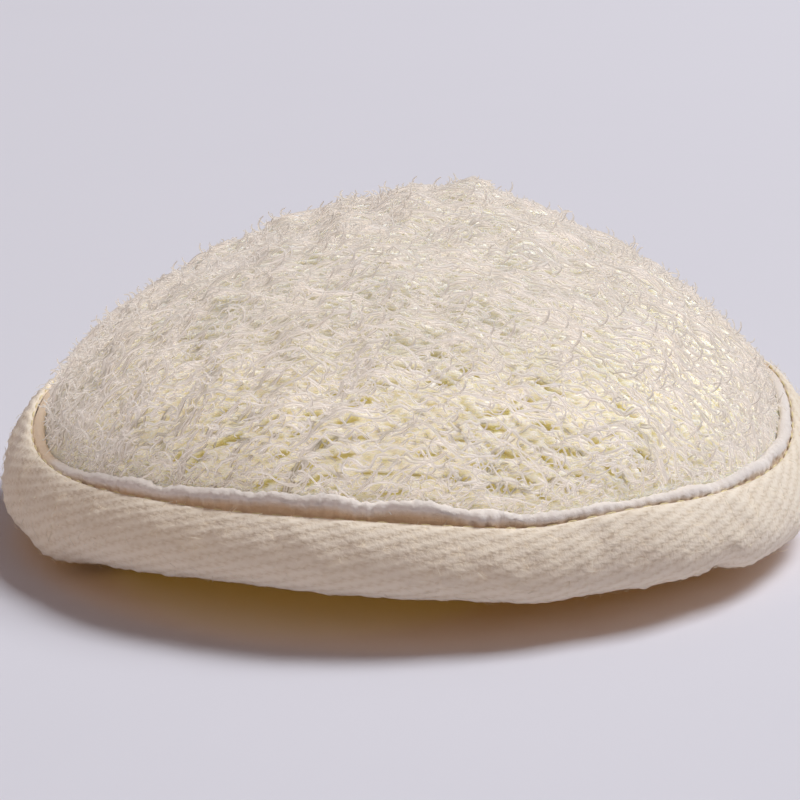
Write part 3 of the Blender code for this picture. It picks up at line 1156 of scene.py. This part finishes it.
@dataclass
class LuffaDome:
    """The natural luffa: a body pierced by lens-shaped holes, its strands and frayed ends."""

    form: PadForm
    tools: NodeTools
    effects: ShaderEffects
    step: float = 0.9 * MM
    body_depth: float = 0.5 * MM
    hole_depth: float = 0.8 * MM
    hole_seed: int = 7
    hole_pitch: tuple[float, float] = (5.8 * MM, 2.2 * MM)
    hole_share: float = 0.5
    strand_gaps: float = 0.2
    crown_heights: tuple[float, float] = (24 * MM, 36 * MM)
    body_grid: tuple[int, int] = (130, 300)
    layers: tuple[NetLayer, ...] = (
        NetLayer("luffa_net_deep", 0.42 * MM, 0.05, 0.64 * MM, 0.21 * MM, 0.50, 11),
        NetLayer("luffa_net_upper", 0.12 * MM, -0.06, 0.74 * MM, 0.19 * MM, 0.78, 12),
    )
    long_fibres: int = 440
    curl_shapes: int = 30
    curl_pieces: int = 2
    curls_a_piece: int = 4600
    curl_swing: float = 0.8
    curl_sizes: tuple[float, float] = (0.55, 1.1)
    guide_grid: tuple[int, int] = (180, 70)
    dome_area: float = 8200 * MM**2

    # The pressed edge and the underside: step in and height
    edge_mm: Pairs = (
        (5.75, 9.7), (4.75, 7.9), (3.75, 6.0), (2.55, 4.8), (2.9, 3.0),
        (5.2, 2.5), (10.6, 1.8), (15.0, 0.2), (24.0, -1.6), (40.0, -1.6),
    )  # fmt: skip

    def build(self) -> list[Object]:
        """Makes every piece of the luffa.

        Returns:
            The body first, then the finer pieces.
        """
        flat = UnrolledDome(self.form)
        holes = LensHoles(self.hole_seed, flat.radius, self.hole_pitch, self.hole_share)
        fibre = FibreFinish("luffa_fibre").build(self.effects)
        body = self._body(flat, holes)
        hosts = [self._net(flat, holes, layer) for layer in self.layers]
        hosts.append(self._long_fibres(flat, holes))
        fine = [run_tree(host, self.tools.strands, Finish=fibre) for host in hosts]
        fine += self._curls(fibre)
        # Light passes between and through the fine fibres, so only the body casts a shadow
        for piece in fine:
            piece.visible_shadow = False
        return [body, *fine]

    def _body(self, flat: UnrolledDome, holes: LensHoles) -> Object:
        """The closed body under the strands: holed dome, pressed edge and underside.

        Args:
            flat: The unrolled dome.
            holes: Its holes.

        Returns:
            The body.
        """
        columns, rows = self.body_grid
        x, y = np.meshgrid(np.linspace(-1, 1, columns), np.linspace(-1, 1, rows), indexing="ij")
        u = flat.radius * x * np.sqrt(1 - y**2 / 2)
        v = flat.radius * y * np.sqrt(1 - x**2 / 2)
        out = np.hypot(u, v)
        inside = 1 - smooth_step(flat.radius - 1.8 * MM, flat.radius - 0.6 * MM, out)
        hole = smooth_step(0.0, 0.55, holes.depth(u, v)) * inside
        uneven = SoftNoise(3, 1.7 * MM, 14).at(u, v * 2.2)
        sunk = self.body_depth - 0.16 * MM * uneven + self.hole_depth * hole
        sunk = sunk * (1 - 0.8 * smooth_step(flat.radius - 0.9 * MM, flat.radius, out))
        top = flat.raised(u, v, -sunk)

        # The grid's outline, in order round the dome, carries on into the pressed edge
        start = columns * rows
        index = np.arange(start).reshape(columns, rows)
        outline = np.concatenate((index[:-1, 0], index[-1, :-1], index[:0:-1, -1], index[0, :0:-1]))
        turns = np.arctan2(v.ravel()[outline], u.ravel()[outline])[:, None]
        edge = np.array(self.edge_mm)[None] * MM
        rim = self.form.section(turns, edge[..., 0], edge[..., 1])
        count, rings = rim.shape[:2]
        middle = [[0, 0, self.form.rim_lift + edge[0, -1, 1]]]
        points = np.concatenate((top.reshape(-1, 3), rim.reshape(-1, 3), middle))
        faces = grid_faces(columns, rows, False, False)
        for i in range(count):
            after = (i + 1) % count
            first, second = start + i * rings, start + after * rings
            faces.append([int(outline[after]), int(outline[i]), first, second])
            for k in range(rings - 1):
                faces.append([second + k, first + k, first + k + 1, second + k + 1])
            faces.append([second + rings - 1, first + rings - 1, len(points) - 1])
        mesh = new_mesh("luffa_body", points, faces)
        # Painted shade: the tone drops deep in the holes and in the dips of the body's unevenness;
        # the pressed edge keeps one tone.
        shade = np.full(len(points), 0.85)
        shade[:start] = (1 - hole).ravel() * (0.8 + 0.2 * uneven.ravel())
        store(mesh, "shade", np.clip(shade, 0, 1))
        # The crown attribute carries the painted shade on the top of the dome and the painted light
        # below it.
        store(mesh, "crown", smooth_step(*self.crown_heights, points[:, 2]))
        return outward(new_object(mesh, BodyFinish().build()))

    def _net(self, flat: UnrolledDome, holes: LensHoles, layer: NetLayer) -> Object:
        """One layer of net as loose edges, whose lines keep out of the holes.

        Args:
            flat: The unrolled dome.
            holes: Its holes.
            layer: The layer to make.

        Returns:
            The layer's lines.
        """
        bundle = StrandBundle()
        random = np.random.default_rng(layer.seed)
        drift = SoftNoise(layer.seed + 51, 14 * MM)
        bumps = SoftNoise(layer.seed + 52, 4 * MM)
        sway = SoftNoise(layer.seed + 53, 3.4 * MM)
        limit = flat.radius - 0.4 * MM
        count = math.ceil(limit / layer.spacing)
        for line in range(-count, count + 1):
            across = (line + random.uniform(-0.3, 0.3)) * layer.spacing
            half = math.sqrt(max(0.0, limit**2 - across**2))
            along = np.arange(-half, half, self.step)
            if len(along) < 4:
                continue
            wander = np.cumsum(random.normal(0, 0.10 * MM, len(along)))
            v = across + 1.1 * MM * drift.at(along, across) + 0.3 * MM * sway.at(along, 3 * across)
            v = v + along * layer.heading + wander - wander.mean()
            v = holes.parted(along, v)
            lift = 0.22 * MM * bumps.at(along, v * 2) + 0.14 * MM * sway.at(v * 3, along)
            height = lift - layer.depth
            radius = layer.radius * random.uniform(0.65, 1.3) * (1 + 0.18 * sway.at(v, along))
            # Painted shade: the deep layer and the dips of a strand are darker, its rises lighter,
            # with random tone on top.
            shade = layer.shade + 0.25 * lift / (0.3 * MM) + random.normal(0, 0.10)
            inside = np.hypot(along, v) < limit
            inside &= random.random(len(along)) > self.strand_gaps
            for part in runs(inside):
                # Both ends of a stretch dip into the net
                height[[part.start, part.stop - 1]] -= 0.25 * MM
                points = flat.raised(along[part], v[part], height[part])
                bundle.add(points, radius[part], np.clip(shade[part], 0, 1))
        return bundle.to_object(layer.name)

    def _long_fibres(self, flat: UnrolledDome, holes: LensHoles) -> Object:
        """Loose fibres that run over the net, dive into it and rise again.

        Args:
            flat: The unrolled dome.
            holes: Its holes.

        Returns:
            The fibres' lines.
        """
        bundle = StrandBundle()
        random = np.random.default_rng(21)
        for _ in range(self.long_fibres):
            turn, out = random.uniform(0, TAU), flat.radius * math.sqrt(random.uniform(0, 1))
            count = int(random.integers(6, 16))
            heading = random.normal(0, 0.2) + (math.pi if random.random() < 0.5 else 0)
            bend = np.cumsum(random.normal(0, 0.12, count))
            bend += 0.35 * np.sin(np.arange(count) * random.uniform(0.4, 1.1) + random.uniform(0, 6))
            u = out * math.cos(turn) + np.cumsum(np.cos(heading + bend)) * self.step
            v = out * math.sin(turn) + np.cumsum(np.sin(heading + bend)) * self.step
            v = holes.parted(u, v)
            dive = np.sin(np.arange(count) * random.uniform(0.35, 0.8) + random.uniform(0, 6))
            height = 0.10 * MM + 0.3 * MM * dive + random.normal(0, 0.08 * MM)
            radius = random.uniform(0.12, 0.2) * MM * np.ones(count)
            radius[-2:] *= (0.8, 0.45)
            # Painted shade: a fibre is darker where it dives into the net and lighter where it
            # rises, with random tone on top.
            shade = np.clip(0.85 + 0.15 * dive + random.normal(0, 0.1), 0, 1)
            for part in runs(np.hypot(u, v) < flat.radius - 0.3 * MM):
                bundle.add(flat.raised(u[part], v[part], height[part]), radius[part], shade[part])
        return bundle.to_object("luffa_long_fibres")

    def _tip(
        self, random: np.random.Generator, start: Array, aim: float, proud: bool = False
    ) -> tuple[Array, Array, Array]:
        """One frayed tip from a start: its points, radii and shades. A proud one stands off.

        Args:
            random: Draws the numbers.
            start: Where it starts.
            aim: Where it heads at first.
            proud: Whether it stands well off the net.

        Returns:
            Its points, radii and shades.
        """
        count = 6
        share = np.linspace(0, 1, count)
        length = random.uniform(1.0, 2.3) * (1.45 if proud else 1.0) * MM
        bend = random.uniform(1.2, 3.6) * random.choice((-1, 1))
        turn = aim + bend * share**1.3
        rise = random.uniform(0.05, 0.8) ** 1.3 * (0.8 if proud else 1.0) + 0.45 * proud
        climb = rise * np.sin(math.pi * (0.15 + 0.75 * share))
        level = np.cos(climb)
        way = np.stack((np.cos(turn) * level, np.sin(turn) * level, np.sin(climb)), axis=-1)
        way = np.concatenate((np.zeros((1, 3)), np.cumsum(way[:-1], axis=0)))
        points = start + way * (length / (count - 1))
        top = (0.75 + 0.5 * random.random()) * (1.6 if proud else 1.0) * MM
        points[:, 2] = np.minimum(points[:, 2], top)
        radius = random.uniform(0.13, 0.2) * MM * (1 - 0.6 * share**1.6)
        # Painted light: a tip grows lighter towards its end, and a proud one is light all along.
        return points, radius, (0.9 if proud else 0.7 + 0.3 * share)

    def _curl(self, random: np.random.Generator, forked: bool, proud: bool) -> StrandBundle:
        """One frayed end, or a forked pair of them, that bends round and thins to its tips.

        Args:
            random: Draws the numbers.
            forked: Whether it has a second tip.
            proud: Whether it stands well off the net.

        Returns:
            Its strands.
        """
        bundle = StrandBundle()
        bundle.add(*self._tip(random, np.array([0.0, 0.0, -0.2 * MM]), 0.0, proud))
        if forked:
            bundle.add(*self._tip(random, bundle.points[0][2], random.choice((-1.1, 1.1))))
        return bundle

    def _curls(self, finish: Material) -> list[Object]:
        """The frayed ends, scattered over the dome from a set of shapes.

        Args:
            finish: The fibres' material.

        Returns:
            The pieces.
        """
        random = np.random.default_rng(31)
        shapes = bpy.data.collections.new("curl_shapes")
        for number in range(self.curl_shapes):
            curl = self._curl(random, number % 6 == 0, number % 10 == 9)
            shape = curl.to_object(f"curl_shape_{number:02d}")
            run_tree(shape, self.tools.strands, Finish=finish)
            bpy.context.scene.collection.objects.unlink(shape)
            shapes.objects.link(shape)
        around, down = self.guide_grid
        turns = np.linspace(0, TAU, around, endpoint=False)[:, None]
        reach = np.sin(np.linspace(0.03, math.pi / 2 * 0.985, down))[None, :]
        guide = self.form.dome(turns, reach)
        x, y, z = guide[..., 0], guide[..., 1], guide[..., 2]
        patch = SoftNoise(8, 9 * MM).at(x, y)
        # Fewer loose ends low in front, where the net lies open
        open_front = smooth_step(-16 * MM, -30 * MM, y) * smooth_step(30 * MM, 20 * MM, z)
        cover = (1 + 0.4 * patch - 0.25 * x / (50 * MM)) * (1 - 0.72 * open_front)
        cover = cover + 0.9 * smooth_step(0.93, 0.99, reach)
        pieces = []
        for number in range(self.curl_pieces):
            faces = grid_faces(around, down, True, False)
            mesh = new_mesh(f"luffa_curls_{number + 1}", guide, faces)
            store(mesh, "cover", np.clip(cover, 0.2, 2.0))
            piece = run_tree(
                outward(new_object(mesh)),
                self.tools.scatter,
                Curls=shapes,
                Density=self.curls_a_piece / self.dome_area,
                Swing=self.curl_swing,
                Smallest=self.curl_sizes[0],
                Largest=self.curl_sizes[1],
                Seed=40 + number,
                Finish=finish,
            )
            pieces.append(piece)
        for shape in list(shapes.objects):
            bpy.data.objects.remove(shape)
        bpy.data.collections.remove(shapes)
        return pieces


class TapeTwill:
    """The tape's twill as relief: slanted cords, worn unevenly."""

    pitch_mm = 1.4
    relief = 0.19 * MM

    def __init__(self, ridges: int, perimeter_mm: float) -> None:
        """Leans the cords so that a whole number of them goes round the rim."""
        self.lean = math.asin(ridges * self.pitch_mm / perimeter_mm)

    def height(self, along_mm: Array, across_mm: Array) -> Array:
        """How far the cloth stands out at places along and across the tape.

        Args:
            along_mm: Places along the tape.
            across_mm: Places across it.

        Returns:
            The heights, in metres.
        """
        rise = across_mm * math.cos(self.lean) - along_mm * math.sin(self.lean)
        cord = 0.5 + 0.5 * np.cos(TAU * (rise / self.pitch_mm))
        worn = 1 + 0.4 * SoftNoise(64, 4.0).at(along_mm, across_mm)
        return self.relief * worn * cord


@dataclass
class TapeBinding:
    """The folded cotton tape round the rim."""

    form: PadForm
    effects: ShaderEffects
    turns: int = 1000
    rows: int = 50
    inside_rows: int = 12
    perimeter_mm: float = 312.0
    ridges: int = 76
    pucker: float = 0.14 * MM

    # From the top edge down the outside, under the pad and back inside the fold
    section_mm: Pairs = (
        (4.25, 9.7), (3.95, 10.1), (3.35, 9.95), (2.35, 8.95), (1.2, 7.3),
        (0.4, 5.4), (0.12, 3.6), (0.6, 1.6), (2.3, 0.15), (5.2, -0.5),
        (8.0, -0.8), (10.1, -1.05), (10.5, -0.7), (10.1, -0.3), (8.0, 0.0),
        (5.2, 0.35), (2.6, 1.1), (1.55, 2.6), (1.5, 5.2), (2.85, 7.9),
    )  # fmt: skip

    def build(self) -> Object:
        """Makes the tape with its twill as relief on the outside.

        Returns:
            The tape.
        """
        path = closed_spline(self.section_mm, self.rows * 3)
        lengths = lengths_along(path)
        # Close rows on the outside, where the twill shows, and wide ones inside the fold
        fold_end = float(lengths[np.argmax(path[:, 0] > 10.45)])
        outside = np.linspace(0, fold_end, self.rows - self.inside_rows, endpoint=False)
        inside = np.linspace(fold_end, lengths[-1] * 0.995, self.inside_rows)
        wanted = np.concatenate((outside, inside))
        path = resampled(path, lengths, wanted)
        away = directions(path)[1]

        turns = np.linspace(0, TAU, self.turns, endpoint=False)[:, None]
        along_mm = turns / TAU * self.perimeter_mm
        across_mm = -wanted[None, :]
        twill = TapeTwill(self.ridges, self.perimeter_mm)
        shown = smooth_step(0.5, 1.4, wanted) * (1 - smooth_step(fold_end - 1, fold_end, wanted))
        relief = (twill.height(along_mm, across_mm) - 0.08 * MM) * shown
        wave = SoftNoise(61, 19.0).at(along_mm, 0) * self.pucker
        relief = relief + wave * smooth_step(0.0, 3.0, wanted) * (wanted < fold_end)
        step_in, height = (path[:, i] * MM + relief * away[:, i] for i in range(2))
        points = self.form.section(turns, step_in, height)
        faces = grid_faces(self.turns, self.rows, True, True)
        mesh = new_mesh("binding_tape_cloth", points, faces)
        self._unfold(mesh, np.append(across_mm[0], across_mm[0, -1] - 0.3))
        return outward(new_object(mesh, TapeFinish().build(self.effects)))

    def _unfold(self, mesh: bpy.types.Mesh, across_mm: Array) -> None:
        """Gives the tape a UV map in millimetres along and across, which doesn't wrap.

        Args:
            mesh: The tape's mesh.
            across_mm: Where each row lies across the tape.
        """
        column, row = (index.ravel() for index in np.indices((self.turns, self.rows)))
        u = np.stack((column, column + 1, column + 1, column), axis=-1)
        v = across_mm[np.stack((row, row, row + 1, row + 1), axis=-1)]
        pairs = np.stack((u * (self.perimeter_mm / self.turns), v), axis=-1)
        layer = mesh.uv_layers.new(name="UVMap")
        layer.data.foreach_set("uv", pairs.astype(np.float32).ravel())


@dataclass
class LintHairs:
    """Stray cotton hairs that stand off the outside of the tape."""

    form: PadForm
    tools: NodeTools
    effects: ShaderEffects
    count: int = 1500
    radius: float = 0.035 * MM
    hair_points: int = 5
    section_points: int = 200

    def build(self) -> Object:
        """Makes the hairs as thin curved strands rooted in the cloth.

        Returns:
            The hairs.
        """
        colours = (0.86, 0.78, 0.68), (0.90, 0.84, 0.75), (0.94, 0.90, 0.83)
        finish = FibreFinish("cotton_lint", *colours, through=0.6).build(self.effects)
        path = closed_spline(TapeBinding.section_mm, self.section_points)
        ways, outs = directions(path)
        outside = np.arange(np.argmax(path[:, 0] > 6.0))
        random = np.random.default_rng(81)
        share = np.linspace(0, 1, self.hair_points)
        bundle = StrandBundle()
        for _ in range(self.count):
            root = int(random.choice(outside))
            aim, length = random.uniform(0, TAU), random.uniform(0.5, 1.7)
            along = math.cos(aim) * length * share
            across = math.sin(aim) * length * share + random.normal(0, 0.25) * share**2
            lift = random.uniform(0.1, 0.4) * np.sin(2.2 * share) - 0.03
            place = path[root] + across[:, None] * ways[root] + lift[:, None] * outs[root]
            turn = random.uniform(0, TAU) + along / self.form.half_length * MM
            points = self.form.section(turn, place[:, 0] * MM, place[:, 1] * MM)
            # Painted shade at the root of each hair, growing lighter to its tip.
            bundle.add(points, self.radius * (1 - 0.4 * share), share)
        hairs = run_tree(bundle.to_object("tape_lint"), self.tools.strands, Finish=finish)
        hairs.visible_shadow = False
        return hairs


@dataclass
class LiningRoll:
    """The white lining: a soft uneven roll above the tape, with its tail in the fold."""

    form: PadForm
    effects: ShaderEffects
    turns: int = 900
    rows: int = 24
    perimeter: float = 300 * MM
    row_spacing: float = 0.4 * MM
    fleece: float = 0.11 * MM
    waviness: float = 0.09 * MM

    # Round the section from its top: step in and height, first full and then slack
    full_mm: Pairs = (
        (5.1, 11.9), (5.9, 11.5), (6.1, 10.6), (5.2, 9.2), (3.4, 6.3),
        (3.0, 6.5), (4.0, 8.6), (4.5, 9.9), (4.6, 10.5), (4.35, 11.2),
    )  # fmt: skip
    slack_mm: Pairs = (
        (5.0, 10.1), (5.6, 10.1), (5.7, 9.7), (4.9, 8.6), (3.4, 6.3),
        (3.0, 6.5), (3.8, 8.2), (4.1, 9.0), (4.25, 9.5), (4.4, 9.9),
    )  # fmt: skip
    # How full the roll stands at each turn in degrees, from slack at 0
    fullness: Pairs = (
        (-180, 0.0), (-160, 0.05), (-147, 0.5), (-137, 0.9), (-124, 1.35), (-112, 1.75),
        (-101, 1.7), (-89, 1.4), (-74, 0.75), (-64, 0.6), (-54, 0.5), (-42, 0.65),
        (-29, 0.8), (-16, 0.7), (0, 0.3), (20, 0.0), (180, 0.0),
    )  # fmt: skip

    def build(self) -> Object:
        """Makes the roll, uneven as fleece is.

        Returns:
            The roll.
        """
        full = closed_spline(self.full_mm, self.rows)
        slack = closed_spline(self.slack_mm, self.rows)
        away = -directions(full)[1]
        turns = np.linspace(-math.pi, math.pi, self.turns, endpoint=False)[:, None]
        share = np.interp(np.degrees(turns), *np.array(self.fullness).T)
        along = turns / TAU * self.perimeter
        share = share * (1 + 0.10 * SoftNoise(73, 9 * MM).at(along, 0))
        row = np.arange(self.rows) * self.row_spacing
        rough = self.fleece * SoftNoise(71, 1.0 * MM).at(along, row)
        rough = rough + self.waviness * SoftNoise(72, 5 * MM).at(along, 0)
        rough = rough * np.clip(share, 0.3, 1)
        path = slack + (full - slack) * share[..., None]
        step_in, height = (path[..., i] * MM + rough * away[:, i] for i in range(2))
        points = self.form.section(turns, step_in, height)
        mesh = new_mesh("lining_roll", points, grid_faces(self.turns, self.rows, True, True))
        # Painted shade: the roll's lower rows, next to the tape, are tinted tan.
        low = smooth_step(5.3, 4.9, full[:, 0]) * smooth_step(10.9, 10.1, full[:, 1])
        # Where the roll is slack it lies in the crease, and painted shade makes it as tan as the
        # fold
        store(mesh, "low", np.maximum(low, 0.8 * smooth_step(0.3, 0.02, share)))
        whites = srgb(246, 237, 231), srgb(236, 224, 214)
        finish = ClothFinish("white_fleece", *whites, 2600.0, 0.2 * MM, (0.97, 0.80, 0.58))
        return outward(new_object(mesh, finish.build(self.effects)))


@dataclass
class SeamStitches:
    """The row of machine stitches near the tape's upper edge."""

    form: PadForm
    tools: NodeTools
    effects: ShaderEffects
    step: float = 2.5 * MM
    length: float = 1.5 * MM
    radius: float = 0.11 * MM
    seam_in: float = 4.12 * MM
    seam_height: float = 10.08 * MM
    seam_points: int = 721

    def build(self) -> Object:
        """Makes one stitch and copies it along the seam.

        Returns:
            The stitches.
        """
        yellows = srgb(240, 226, 180), srgb(226, 206, 146)
        finish = ClothFinish("seam_thread_cotton", *yellows, 5200.0, 0.03 * MM).build(self.effects)
        share = np.linspace(-1, 1, 9)
        line = np.stack((share * self.length / 2, 0 * share, -0.22 * MM * share**4), axis=-1)
        bundle = StrandBundle()
        bundle.add(line, self.radius * (1 - 0.35 * share**6), 0 * share)
        stitch = bundle.to_object("one_stitch")
        run_tree(stitch, self.tools.strands, Sides=6, Finish=finish)
        turns = np.linspace(0, TAU, self.seam_points)
        bundle = StrandBundle()
        bundle.add(self.form.section(turns, self.seam_in, self.seam_height), 0 * turns, 0 * turns)
        host = bundle.to_object("seam_stitches")
        run_tree(host, self.tools.stitches, Stitch=stitch, Step=self.step, Finish=finish)
        bpy.data.objects.remove(stitch)
        return host


@dataclass
class BackCloth:
    """The cloth that closes the underside."""

    form: PadForm
    effects: ShaderEffects
    turns: int = 160

    # Step in and height, from the middle of the lower face out to the rim and back above
    section_mm: Pairs = (
        (34.0, -3.0), (24.0, -3.0), (19.0, -2.45), (15.0, -1.3), (10.6, 0.45), (5.2, 1.1),
        (3.2, 1.6), (3.2, 2.45), (5.2, 2.05), (10.6, 1.35), (15.0, -0.2), (24.0, -2.0),
        (34.0, -2.0),
    )  # fmt: skip

    def build(self) -> Object:
        """Makes the cloth as one closed thin body.

        Returns:
            The cloth.
        """
        section = np.array(self.section_mm) * MM
        turns = np.linspace(0, TAU, self.turns, endpoint=False)[:, None]
        grid = self.form.section(turns, section[:, 0], section[:, 1])
        rows, columns = grid.shape[:2]
        tips = [[0.0, 0.0, self.form.rim_lift + section[end, 1]] for end in (0, -1)]
        points = np.concatenate((grid.reshape(-1, 3), tips))
        faces = grid_faces(rows, columns, True, False)
        under, over = rows * columns, rows * columns + 1
        for i in range(rows):
            after = (i + 1) % rows
            faces.append([under, after * columns, i * columns])
            faces.append([over, (i + 1) * columns - 1, (after + 1) * columns - 1])
        tans = srgb(226, 188, 112), srgb(202, 152, 74)
        finish = ClothFinish("unbleached_back_cloth", *tans, 1500.0, 0.3 * MM)
        mesh = new_mesh("back_cloth", points, faces)
        return outward(new_object(mesh, finish.build(self.effects)))


class LightKind(Enum):
    """What a lamp does in the studio."""

    KEY = "softbox_over_pad"
    FILL = "soft_fill_in_front"
    SOAK = "light_soaked_up_by_the_luffa"
    GLOW = "glow_under_pad"


class Lit(Enum):
    """What a lamp lights: all, or one group of pieces."""

    ALL = "all"
    CLOTH = "cloth"
    LUFFA = "luffa"
    FLOOR = "floor"


@dataclass(frozen=True)
class Lamp:
    """A square softbox that faces the pad, or a level oval glow between pad and floor."""

    kind: LightKind
    place: Triple
    size: tuple[float, float]
    power: float
    colour: Triple
    lights: Lit = Lit.ALL

    def build(self, groups: dict[Lit, list[Object]]) -> None:
        """Hangs the lamp, which lights one group of pieces where it is meant for it.

        Args:
            groups: The pieces of each group.
        """
        glow = self.kind is LightKind.GLOW
        data = bpy.data.lights.new(self.kind.value, "AREA")
        data.shape = "ELLIPSE" if glow else "SQUARE"
        data.size, data.size_y = self.size
        data.energy, data.color = self.power, self.colour
        lamp = bpy.data.objects.new(self.kind.value, data)
        lamp.location = self.place
        lamp.visible_camera = not glow
        if not glow:
            lamp.rotation_euler = (-Vector(self.place)).to_track_quat("-Z", "Y").to_euler()
        bpy.context.scene.collection.objects.link(lamp)
        if self.lights in groups:
            lit = bpy.data.collections.new(f"lit_by_{self.kind.value}")
            for piece in groups[self.lights]:
                lit.objects.link(piece)
            lamp.light_linking.receiver_collection = lit
            if glow:
                lamp.light_linking.blocker_collection = lit


@dataclass
class Studio:
    """The pale floor, the lamps and the camera of the photograph.

    The glows stand for warm light that soaks through the pad and falls on the floor under it.
    """

    effects: ShaderEffects
    floor_side: float = 8.0
    aim: Triple = (-1.55 * MM, -5.0 * MM, 18.0 * MM)
    distance: float = 330 * MM
    elevation: float = 18.0
    sight_pixels: float = 2561.4
    frame_pixels: float = 800.0
    side_glow: Triple = (0.110, 0.052, 0.014)
    top_glow: Triple = (0.230, 0.200, 0.205)
    lamps: tuple[Lamp, ...] = (
        Lamp(LightKind.KEY, (1.9, 0.95, 3.18), (1.6, 1.6), 140.0, (0.868, 0.917, 0.953)),
        Lamp(LightKind.FILL, (-1.9, -1.4, 1.5), (1.4, 1.4), 9.0, (1.0, 0.86, 0.75), Lit.CLOTH),
        Lamp(LightKind.SOAK, (-0.5, -2.17, 1.1), (1.4, 1.4), 32.0, (1.0, 0.95, 0.92), Lit.LUFFA),
        Lamp(
            LightKind.GLOW, (0.0, -0.5 * MM, 1.9 * MM), (0.105, 0.089), 0.00152,
            (1.0, 0.46, 0.02), Lit.FLOOR,
        ),
        Lamp(
            LightKind.GLOW, (-12 * MM, -14 * MM, 1.8 * MM), (0.052, 0.052), 0.00013,
            (1.0, 1.0, 0.1), Lit.FLOOR,
        ),
    )  # fmt: skip

    def build(self, groups: dict[Lit, list[Object]]) -> None:
        """Sets everything up round the finished pad.

        Args:
            groups: The pieces of each group that a lamp may light alone.
        """
        groups = {**groups, Lit.FLOOR: [self._floor()]}
        for lamp in self.lamps:
            lamp.build(groups)
        self._world()
        self._camera()
        bpy.context.scene.view_settings.view_transform = "Standard"

    def _floor(self) -> Object:
        """A wide plane with a faint unevenness.

        Returns:
            The floor.
        """
        half = self.floor_side / 2
        corners = np.array([[-half, -half, 0], [half, -half, 0], [half, half, 0], [-half, half, 0]])
        made, work = start_material("pale_floor")
        greys = srgb(226, 223, 231), srgb(222, 219, 227)
        colour = self.effects.mottled(work, *greys, 6.0, 0.5)
        finish_material(work, Base_Color=colour, Roughness=0.75)
        floor = new_object(new_mesh("floor", corners, [[0, 1, 2, 3]]), made)
        return floor

    def _world(self) -> None:
        """A dim surround, warm at the sides and paler overhead."""
        world = bpy.data.worlds.new("studio_surround")
        world.use_nodes = True
        work = Tree(world.node_tree)
        way = work.node("ShaderNodeTexCoord").outputs["Generated"]
        height = work.node("ShaderNodeSeparateXYZ", i0=way).outputs["Z"]
        share = work.add("ShaderNodeMapRange", Value=height, From_Min=0.15, From_Max=0.75)
        colour = work.mix(share, self.side_glow, self.top_glow)
        glow = work.add("ShaderNodeBackground", Color=colour, Strength=1.0)
        work.node("ShaderNodeOutputWorld", Surface=glow)
        bpy.context.scene.world = world

    def _camera(self) -> None:
        """A long lens a little above the table, near the pad, as in the photograph."""
        data = bpy.data.cameras.new("camera")
        data.lens = self.sight_pixels / self.frame_pixels * data.sensor_width
        data.clip_start = 0.01
        camera = bpy.data.objects.new("camera", data)
        lean = math.radians(self.elevation)
        back = Vector((0, -math.cos(lean), math.sin(lean))) * self.distance
        camera.location = Vector(self.aim) + back
        camera.rotation_euler = (math.radians(90) - lean, 0, 0)
        bpy.context.scene.collection.objects.link(camera)
        bpy.context.scene.camera = camera


def report(piece: Object) -> None:
    """Logs a piece's name and how many triangles it has."""
    piece.data.calc_loop_triangles()
    LOG.info("%s: %d triangles", piece.name, len(piece.data.loop_triangles))


def main() -> None:
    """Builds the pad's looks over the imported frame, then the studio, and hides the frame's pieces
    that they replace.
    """
    logging.basicConfig(level=logging.INFO, format="%(name)s %(message)s")
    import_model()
    form = PadForm.from_frame()
    effects, tools = ShaderEffects(), NodeTools()

    luffa = LuffaDome(form, tools, effects).build()
    tape = TapeBinding(form, effects).build()
    lint = LintHairs(form, tools, effects).build()
    roll = LiningRoll(form, effects).build()
    stitches = SeamStitches(form, tools, effects).build()
    back = BackCloth(form, effects).build()
    Studio(effects).build({Lit.CLOTH: [tape, lint, roll, stitches, back], Lit.LUFFA: luffa})

    replaced = {
        "luffa_dome": (luffa, "luffa"),
        "binding_tape": ([tape, lint], "cotton_tape"),
        "lining_edge": ([roll], "white_lining"),
        "seam_thread": ([stitches], "thread"),
        "backing_cloth": ([back], "backing"),
    }
    for node, (pieces, slot) in replaced.items():
        for piece in pieces:
            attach(piece, BODY)
            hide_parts(node)
            report(piece)


if __name__ == "__main__":
    main()
